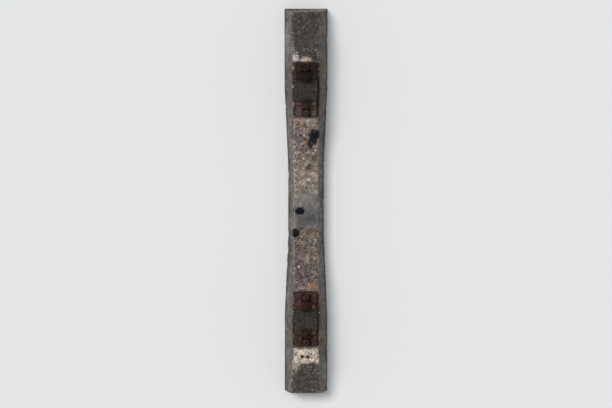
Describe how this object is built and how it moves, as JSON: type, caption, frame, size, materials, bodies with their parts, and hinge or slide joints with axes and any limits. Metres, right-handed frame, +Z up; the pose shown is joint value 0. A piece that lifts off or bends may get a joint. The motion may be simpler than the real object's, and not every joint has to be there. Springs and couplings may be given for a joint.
{
  "type": "railway sleeper",
  "caption": "Prestressed concrete railway sleeper with canted rail seats, each carrying a bolted base plate, rubber pads and rail clips.",
  "frame": {"origin": "middle of the underside of the concrete beam", "axes": "+Y along the sleeper, +X along the track, +Z up"},
  "size_m": [0.3, 2.7, 0.3075],
  "materials": {
    "concrete": "weathered, pitted precast concrete with oil, coal and rust stains",
    "plate_steel": "rolled steel under dark brown rust, orange at the corners",
    "clip_steel": "dark, oily, rusted steel",
    "bolt_steel": "rusted steel, worn on the nuts' corners",
    "anchor_steel": "plain dark steel, cast into the concrete",
    "pad_rubber": "black grooved rubber, dusty",
    "bush_plastic": "dark brown insulating plastic"
  },
  "bodies": {
    "root": {"anchor_bolt_a_inner": "bolt_steel", "anchor_bolt_a_outer": "bolt_steel", "anchor_bolt_b_inner": "bolt_steel", "anchor_bolt_b_outer": "bolt_steel", "anchor_nut_a_inner": "bolt_steel", "anchor_nut_a_outer": "bolt_steel", "anchor_nut_b_inner": "bolt_steel", "anchor_nut_b_outer": "bolt_steel", "anchor_plate_a_inner": "anchor_steel", "anchor_plate_a_outer": "anchor_steel", "anchor_plate_b_inner": "anchor_steel", "anchor_plate_b_outer": "anchor_steel", "anchor_spring_washer_a_inner": "bolt_steel", "anchor_spring_washer_a_outer": "bolt_steel", "anchor_spring_washer_b_inner": "bolt_steel", "anchor_spring_washer_b_outer": "bolt_steel", "base_plate_a": "plate_steel", "base_plate_b": "plate_steel", "clamp_washer_a_inner": "bolt_steel", "clamp_washer_a_outer": "bolt_steel", "clamp_washer_b_inner": "bolt_steel", "clamp_washer_b_outer": "bolt_steel", "clip_a_inner": "clip_steel", "clip_a_outer": "clip_steel", "clip_b_inner": "clip_steel", "clip_b_outer": "clip_steel", "clip_bolt_a_inner": "bolt_steel", "clip_bolt_a_outer": "bolt_steel", "clip_bolt_b_inner": "bolt_steel", "clip_bolt_b_outer": "bolt_steel", "clip_nut_a_inner": "bolt_steel", "clip_nut_a_outer": "bolt_steel", "clip_nut_b_inner": "bolt_steel", "clip_nut_b_outer": "bolt_steel", "clip_spring_washer_a_inner": "bolt_steel", "clip_spring_washer_a_outer": "bolt_steel", "clip_spring_washer_b_inner": "bolt_steel", "clip_spring_washer_b_outer": "bolt_steel", "concrete_beam": "concrete", "insulating_bush_a_inner": "bush_plastic", "insulating_bush_a_outer": "bush_plastic", "insulating_bush_b_inner": "bush_plastic", "insulating_bush_b_outer": "bush_plastic", "plate_pad_a": "pad_rubber", "plate_pad_b": "pad_rubber", "rail_pad_a": "pad_rubber", "rail_pad_b": "pad_rubber"}
  },
  "joints": []
}
